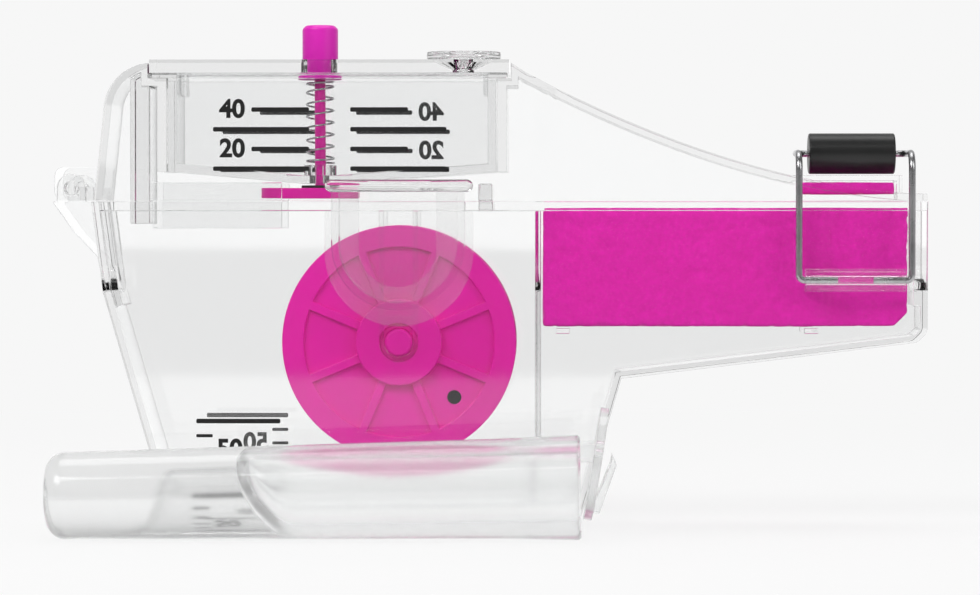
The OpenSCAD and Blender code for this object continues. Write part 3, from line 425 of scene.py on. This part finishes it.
def add_sleeve(work, centre, inner, outer, half):
    rings = []
    for y, radius in ((-half, inner), (-half, outer), (half, outer), (half, inner)):
        ring = []
        for k in range(SLEEVE_SEGMENTS):
            angle = math.tau * k / SLEEVE_SEGMENTS
            offset = Vector((radius * math.cos(angle), y, radius * math.sin(angle)))
            ring.append(work.verts.new(centre + offset))
        rings.append(ring)
    for a, b in zip(rings, rings[1:] + rings[:1]):
        for k in range(SLEEVE_SEGMENTS):
            n = (k + 1) % SLEEVE_SEGMENTS
            work.faces.new((a[k], b[k], b[n], a[n]))


def make_brush():
    """Tufts of nylon strands on the wheel's sleeve, 36 rows round and 9 across."""
    low, high = (Vector(corner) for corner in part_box("brush_bristles"))
    centre = (low + high) / 2
    tip_r = (high.x - low.x) / 2
    half = (high.y - low.y) / 2
    core_low, core_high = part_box("wheel_core")
    inner = (core_high[0] - core_low[0]) / 2 + AIR
    outer = inner + SLEEVE_T
    draw = random.Random(7)
    work = bmesh.new()
    add_sleeve(work, centre, inner, outer, half)
    along = Vector((0, 1, 0))
    for row in range(BRISTLE_ROWS):
        for column in range(BRISTLE_COLS):
            y = half * (2 * (column + 0.5) / BRISTLE_COLS - 1) * 0.93
            for strand in range(TUFT_STRANDS):
                turn = math.tau * strand / TUFT_STRANDS
                angle = math.tau * (row + 0.5 * (column % 2)) / BRISTLE_ROWS
                out = Vector((math.cos(angle), 0, math.sin(angle)))
                side = Vector((-out.z, 0, out.x))
                lean = side * math.cos(turn) + along * math.sin(turn)
                root = centre + out * (outer - 0.2 * MM) + along * y + lean * TUFT_SPREAD * 0.5
                bend = lean * TIP_SPREAD + side * draw.uniform(-0.5, 0.5) * MM
                reach = tip_r - draw.uniform(0.05, 0.6) * MM
                tip = out * reach + side * bend.dot(side)
                tip_y = max(-half, min(half, y + bend.dot(along) + draw.uniform(-0.1, 0.1) * MM))
                add_strand(work, root, centre + tip + along * tip_y, side, along)
    bmesh.ops.recalc_face_normals(work, faces=work.faces)
    mesh = bpy.data.meshes.new("brush_tufts")
    work.to_mesh(mesh)
    work.free()
    place(link("brush_tufts", mesh), "brush_wheel", SLOTS["brush_bristles"], "black_nylon", "brush_bristles")


# Spring

SPRING_TURNS = 8
SPRING_WIRE = 0.45 * MM
SPRING_STEPS = 28
SPRING_CLOSED = 0.9


def spring_height(share, turns):
    """Share of the height reached at a share of the winding: the end turns lie nearly flat."""
    flat = SPRING_CLOSED / turns
    rise = 0.045
    if share < flat:
        return rise * share / flat
    if share > 1 - flat:
        return 1 - rise * (1 - share) / flat
    return rise + (1 - 2 * rise) * (share - flat) / (1 - 2 * flat)


def make_spring():
    low, high = (Vector(corner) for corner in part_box("plunger_spring"))
    middle = (low + high) / 2
    radius = (high.y - low.y) / 2 - SPRING_WIRE / 2
    bottom = low.z + SPRING_WIRE / 2
    height = high.z - low.z - SPRING_WIRE
    curve = bpy.data.curves.new("spring_line", "CURVE")
    curve.dimensions = "3D"
    curve.bevel_depth = SPRING_WIRE / 2
    curve.bevel_resolution = 3
    curve.use_fill_caps = True
    spline = curve.splines.new("POLY")
    count = SPRING_TURNS * SPRING_STEPS
    spline.points.add(count)
    for i, point in enumerate(spline.points):
        angle = math.tau * i / SPRING_STEPS
        z = bottom + height * spring_height(i / count, SPRING_TURNS)
        point.co = (middle.x + radius * math.cos(angle), middle.y + radius * math.sin(angle), z, 1)
    mesh = evaluated_mesh(link("start", curve))
    mesh.shade_smooth()
    piece = place(link("spring_coil", mesh), "cover", SLOTS["plunger_spring"], "steel_wire", "plunger_spring")
    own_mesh(piece)


# Handle

GRIP_SEGMENTS = 96
GRIP_SMALL_R = 9.2 * MM
GRIP_END_ROUND = 4 * MM
GRIP_BORE = 7 * MM
GRIP_BORE_DEPTH = 71 * MM
GRIP_LIP = 0.5 * MM
GRIP_SHEAR = 0.62
GRIP_SHARES = ((0.62, 0.51), (0.84, 0.69))
GRIP_ARC_STEPS = 10
GRIP_LENGTH_STEPS = 13
GRIP_BORE_STEPS = 16


def grip_profile(small, large, length):
    """Distance from the closed end and radius of each ring, outside first and then down the bore."""
    outline = []
    for k in range(GRIP_ARC_STEPS + 1):
        angle = math.pi / 2 * k / GRIP_ARC_STEPS
        outline.append((GRIP_END_ROUND * (1 - math.cos(angle)),
                        small - GRIP_END_ROUND * (1 - math.sin(angle))))
    knots = [(GRIP_END_ROUND, small)]
    knots += [(length * share, small + (large - small) * grown) for share, grown in GRIP_SHARES]
    knots.append((length - GRIP_LIP, large))
    for (x0, r0), (x1, r1) in zip(knots, knots[1:]):
        for k in range(1, GRIP_LENGTH_STEPS + 1):
            share = k / GRIP_LENGTH_STEPS
            outline.append((x0 + (x1 - x0) * share, r0 + (r1 - r0) * share))
    outline.append((length, large - GRIP_LIP))
    outline.append((length, GRIP_BORE + GRIP_LIP))
    bore_first = len(outline)
    outline.append((length - GRIP_LIP, GRIP_BORE))
    bore_end = length - GRIP_BORE_DEPTH + GRIP_BORE
    for k in range(1, GRIP_BORE_STEPS):
        share = k / GRIP_BORE_STEPS
        outline.append((length - GRIP_LIP + (bore_end - length + GRIP_LIP) * share, GRIP_BORE))
    for k in range(GRIP_ARC_STEPS + 1):
        angle = math.pi / 2 * k / GRIP_ARC_STEPS
        outline.append((bore_end - GRIP_BORE * math.sin(angle), GRIP_BORE * math.cos(angle)))
    return outline, bore_first, bore_end


def make_grip():
    """A thick clear tube that widens to its open end, with a slanting bottom to its bore."""
    low, high = (Vector(corner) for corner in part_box("handle_grip"))
    large = (high.y - low.y) / 2 - AIR
    small = GRIP_SMALL_R - AIR
    tilt = math.atan((large - small) / (high.x - low.x - GRIP_END_ROUND))
    length = (high.x - low.x) / math.cos(tilt) - large * math.sin(tilt)
    outline, bore_first, bore_end = grip_profile(small, large, length)
    start = Vector((low.x, (low.y + high.y) / 2, small * math.cos(tilt) - GRIP_END_ROUND * math.sin(tilt)))
    along = Vector((math.cos(tilt), 0, math.sin(tilt)))
    up = Vector((-math.sin(tilt), 0, math.cos(tilt)))
    side = Vector((0, 1, 0))
    work = bmesh.new()
    rings = []
    for i, (x, radius) in enumerate(outline):
        if radius < WELD:
            rings.append([work.verts.new(start + along * x)])
            continue
        ring = []
        for k in range(GRIP_SEGMENTS):
            angle = math.tau * k / GRIP_SEGMENTS
            height = radius * math.sin(angle)
            slant = GRIP_SHEAR if i >= bore_first else 0
            reach = max(0.0, min(1.0, (bore_end + 2 * GRIP_BORE - x) / (2 * GRIP_BORE)))
            shift = -slant * height * reach * reach
            point = start + along * (x + shift) + up * height + side * radius * math.cos(angle)
            ring.append(work.verts.new(point))
        rings.append(ring)
    for a, b in zip(rings, rings[1:]):
        for k in range(GRIP_SEGMENTS):
            n = (k + 1) % GRIP_SEGMENTS
            corners = [a[k % len(a)], a[n % len(a)], b[n % len(b)], b[k % len(b)]]
            work.faces.new(list(dict.fromkeys(corners)))
    work.faces.new(rings[0])
    bmesh.ops.recalc_face_normals(work, faces=work.faces)
    mesh = bpy.data.meshes.new("grip_body")
    work.to_mesh(mesh)
    work.free()
    mesh.shade_smooth()
    mesh.set_sharp_from_angle(angle=math.radians(40))
    place(link("grip_body", mesh), "handle", SLOTS["handle_grip"], "handle_plastic", "handle_grip")


# Level marks, plain numbers and lines printed on the front and, to be read from behind, on the rear

INK = 0.03 * MM
INK_GAP = 0.01 * MM
TANK_MARK = (-34.8 * MM, 84.9 * MM)
TANK_LEVELS = ("40", "30", "20", "10")
TANK_LEVEL_STEP = 4.3 * MM
TANK_LEVEL_HALF = 25.5 * MM
LEVEL_LINE = 1.0 * MM
LEVEL_GAP = 4.5 * MM
LEVEL_NUMBER = 5.5 * MM
LEVEL_NUMBER_ROOM = 8.4 * MM
TUB_MARK = (-54.8 * MM, 13.5 * MM)
TUB_MARK_HALF = 9.2 * MM
TUB_MARK_LOW = -6.0 * MM
TUB_MARK_HIGH = 9.3 * MM
TUB_MARK_LINE = 1.0 * MM
TUB_TICKS = 5
TUB_TICK_L = 3.6 * MM
TUB_TICK_SHARE = 0.7
TUB_NUMBER = 5.6 * MM
TUB_NUMBER_PLACE = (-1.9 * MM, 3.6 * MM)
TUB_HALF = 13 * MM


def add_bar(work, x0, x1, z0, z1):
    """A printed bar with cut corners, drawn in X and Z."""
    nip = 0.2 * min(x1 - x0, z1 - z0)
    corners = [(x0 + nip, z0), (x1 - nip, z0), (x1, z0 + nip), (x1, z1 - nip), (x1 - nip, z1), (x0 + nip, z1),
               (x0, z1 - nip), (x0, z0 + nip)]
    near = [work.verts.new((x, 0, z)) for x, z in corners]
    far = [work.verts.new((x, INK, z)) for x, z in corners]
    work.faces.new(near)
    work.faces.new(reversed(far))
    for k in range(len(corners)):
        n = (k + 1) % len(corners)
        work.faces.new((near[k], far[k], far[n], near[n]))


def add_number(work, text, x, z, size):
    curve = bpy.data.curves.new("digits", "FONT")
    curve.body = text
    curve.size = size
    curve.align_x = "CENTER"
    curve.align_y = "CENTER"
    curve.offset = 0.035 * size
    curve.extrude = INK / 2
    mesh = evaluated_mesh(link("digits", curve))
    mesh.transform(Matrix.Translation((x, INK / 2, z)) @ Matrix.Rotation(math.pi / 2, 4, "X"))
    work.from_mesh(mesh)


def tank_marks(work):
    """Level lines either side of the middle, with a number at the left end of every second one."""
    top = TANK_LEVEL_STEP * (len(TANK_LEVELS) - 1) / 2
    for i, level in enumerate(TANK_LEVELS):
        z = top - i * TANK_LEVEL_STEP
        low, high = z - LEVEL_LINE / 2, z + LEVEL_LINE / 2
        numbered = i % 2 == 0
        end = TANK_LEVEL_HALF - (LEVEL_NUMBER_ROOM if numbered else 0)
        add_bar(work, -end, -LEVEL_GAP, low, high)
        add_bar(work, LEVEL_GAP, end, low, high)
        if numbered:
            add_number(work, level, LEVEL_NUMBER_ROOM / 2 - TANK_LEVEL_HALF, z, LEVEL_NUMBER)


def tub_marks(work):
    """Two long lines with short ticks between them at the left and a number beside those."""
    for z in (TUB_MARK_HIGH, TUB_MARK_LOW):
        add_bar(work, -TUB_MARK_HALF, TUB_MARK_HALF, z, z + TUB_MARK_LINE)
    for k in range(1, TUB_TICKS):
        z = TUB_MARK_LOW + (TUB_MARK_HIGH - TUB_MARK_LOW) * k / TUB_TICKS
        add_bar(work, -TUB_MARK_HALF, -TUB_MARK_HALF + TUB_TICK_L, z, z + TUB_TICK_SHARE * TUB_MARK_LINE)
    add_number(work, "50", *TUB_NUMBER_PLACE, TUB_NUMBER)


def make_print(name, draw, centre, wall_y, body):
    for view, side in (("front", -1), ("rear", 1)):
        work = bmesh.new()
        draw(work)
        bmesh.ops.recalc_face_normals(work, faces=work.faces)
        mesh = bpy.data.meshes.new(name)
        work.to_mesh(mesh)
        work.free()
        turn = Matrix.Rotation(0 if side < 0 else math.pi, 4, "Z")
        x, z = centre
        mesh.transform(Matrix.Translation((x, side * (wall_y + INK + INK_GAP), z)) @ turn)
        place(link("%s_%s" % (name, view), mesh), body, "black_plastic", "print_ink")


def make_prints():
    cover_half = (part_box("tank_lid")[1][1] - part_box("tank_lid")[0][1]) / 2
    make_print("tank_marks", tank_marks, TANK_MARK, cover_half, "cover")
    make_print("tub_marks", tub_marks, TUB_MARK, TUB_HALF, "base")


# Camera, floor and light

def make_camera():
    data = bpy.data.cameras.new("camera")
    data.sensor_width = SENSOR_MM
    data.lens = LENS_MM
    data.clip_start = 0.01
    data.clip_end = 50
    camera = bpy.data.objects.new("camera", data)
    bpy.context.scene.collection.objects.link(camera)
    yaw = math.radians(CAMERA_YAW)
    camera.location = (CAMERA_M * math.sin(yaw), -CAMERA_M * math.cos(yaw), CAMERA_HEIGHT)
    camera.rotation_euler = (math.radians(90 - CAMERA_TILT), 0, yaw)
    bpy.context.scene.camera = camera


def seen_directly(tree):
    """One for rays from the camera, off a gloss or through something clear, zero for those that light."""
    path = add(tree, "ShaderNodeLightPath")
    first = add(tree, "ShaderNodeMath", operation="MAXIMUM")
    second = add(tree, "ShaderNodeMath", operation="MAXIMUM")
    tree.links.new(path.outputs["Is Camera Ray"], first.inputs[0])
    tree.links.new(path.outputs["Is Glossy Ray"], first.inputs[1])
    tree.links.new(first.outputs["Value"], second.inputs[0])
    tree.links.new(path.outputs["Is Transmission Ray"], second.inputs[1])
    return second.outputs["Value"]


def make_floor():
    mesh = bpy.data.meshes.new("floor")
    half = TABLE_HALF
    front = TABLE_FRONT
    corners = [(-half, front, 0), (half, front, 0), (half, half, 0), (-half, half, 0)]
    mesh.from_pydata(corners, [], [(0, 1, 2, 3)])
    floor = link("floor", mesh)
    floor.location.z = -0.02 * MM
    material, tree, shader, output = new_material("floor")
    shader.inputs["Base Color"].default_value = (0.8, 0.8, 0.8, 1)
    shader.inputs["Roughness"].default_value = 1.0
    shader.inputs["Specular IOR Level"].default_value = 0.0
    glow = add(tree, "ShaderNodeEmission", Strength=1.0)
    glow.inputs["Color"].default_value = (BACKGROUND, BACKGROUND, BACKGROUND, 1)
    mix = add(tree, "ShaderNodeMixShader")
    where = add(tree, "ShaderNodeTexCoord")
    far = add(tree, "ShaderNodeVectorMath", operation="LENGTH")
    tree.links.new(where.outputs["Object"], far.inputs[0])
    fade = spread(tree, far.outputs["Value"], *GLOW_SHARES)
    fade.inputs["From Min"].default_value = GLOW_FROM
    fade.inputs["From Max"].default_value = GLOW_TO
    share = add(tree, "ShaderNodeMath", operation="MULTIPLY")
    tree.links.new(seen_directly(tree), share.inputs[0])
    tree.links.new(fade.outputs["Result"], share.inputs[1])
    tree.links.new(share.outputs["Value"], mix.inputs["Fac"])
    tree.links.new(shader.outputs["BSDF"], mix.inputs[1])
    tree.links.new(glow.outputs["Emission"], mix.inputs[2])
    tree.links.new(mix.outputs["Shader"], output.inputs["Surface"])
    mesh.materials.append(material)


def make_world():
    """White behind the object, dark beside it and in front, which draws the edges of the clear walls."""
    world = bpy.data.worlds.new("studio")
    bpy.context.scene.world = world
    world.use_nodes = True
    tree = world.node_tree
    background = tree.nodes["Background"]
    output = tree.nodes["World Output"]
    where = add(tree, "ShaderNodeTexCoord")
    parts = add(tree, "ShaderNodeSeparateXYZ")
    tree.links.new(where.outputs["Generated"], parts.inputs["Vector"])
    depth = spread(tree, parts.outputs["Y"], 0, 1)
    depth.inputs["From Min"].default_value = -1
    tones = ramp(tree, depth.outputs["Result"], [(place_at, (tone,) * 3) for place_at, tone in WORLD_TONES])
    background.inputs["Strength"].default_value = BENT_WORLD
    tree.links.new(tones.outputs["Color"], background.inputs["Color"])
    plain = add(tree, "ShaderNodeBackground", Strength=1.0)
    plain.inputs["Color"].default_value = (BACKGROUND, BACKGROUND, BACKGROUND, 1)
    soft = add(tree, "ShaderNodeBackground", Strength=SOFT_LIGHT)
    soft.inputs["Color"].default_value = (1, 1, 1, 1)
    path = add(tree, "ShaderNodeLightPath")
    bent = add(tree, "ShaderNodeMath", operation="MAXIMUM")
    tree.links.new(path.outputs["Is Glossy Ray"], bent.inputs[0])
    tree.links.new(path.outputs["Is Transmission Ray"], bent.inputs[1])
    first = add(tree, "ShaderNodeMixShader")
    second = add(tree, "ShaderNodeMixShader")
    tree.links.new(bent.outputs["Value"], first.inputs["Fac"])
    tree.links.new(soft.outputs["Background"], first.inputs[1])
    tree.links.new(background.outputs["Background"], first.inputs[2])
    tree.links.new(path.outputs["Is Camera Ray"], second.inputs["Fac"])
    tree.links.new(first.outputs["Shader"], second.inputs[1])
    tree.links.new(plain.outputs["Background"], second.inputs[2])
    tree.links.new(second.outputs["Shader"], output.inputs["Surface"])


def make_lamp(name, size, watts, place_m, towards):
    data = bpy.data.lights.new(name, "AREA")
    data.shape = "RECTANGLE"
    data.size, data.size_y = size
    data.energy = watts
    lamp = bpy.data.objects.new(name, data)
    bpy.context.scene.collection.objects.link(lamp)
    lamp.location = place_m
    lamp.rotation_mode = "QUATERNION"
    lamp.rotation_quaternion = (Vector(towards) - Vector(place_m)).to_track_quat("-Z", "Y")


def make_lamps():
    for name, size, watts, place_m in LAMPS:
        make_lamp(name, size, watts, place_m, LAMPS_AIM)


for node, piece in NODES.items():
    piece.data.materials.clear()
    piece.data.materials.append(MATERIALS[SLOTS[node]])

make_camera()
make_foam()
make_spring()
make_prints()
make_brush()
make_grip()
make_mouldings()
make_floor()
make_world()
make_lamps()

view = bpy.context.scene.view_settings
view.view_transform = "Standard"
cycles = bpy.context.scene.cycles
cycles.max_bounces = 24
cycles.transmission_bounces = 24
cycles.glossy_bounces = 8
cycles.transparent_max_bounces = 32
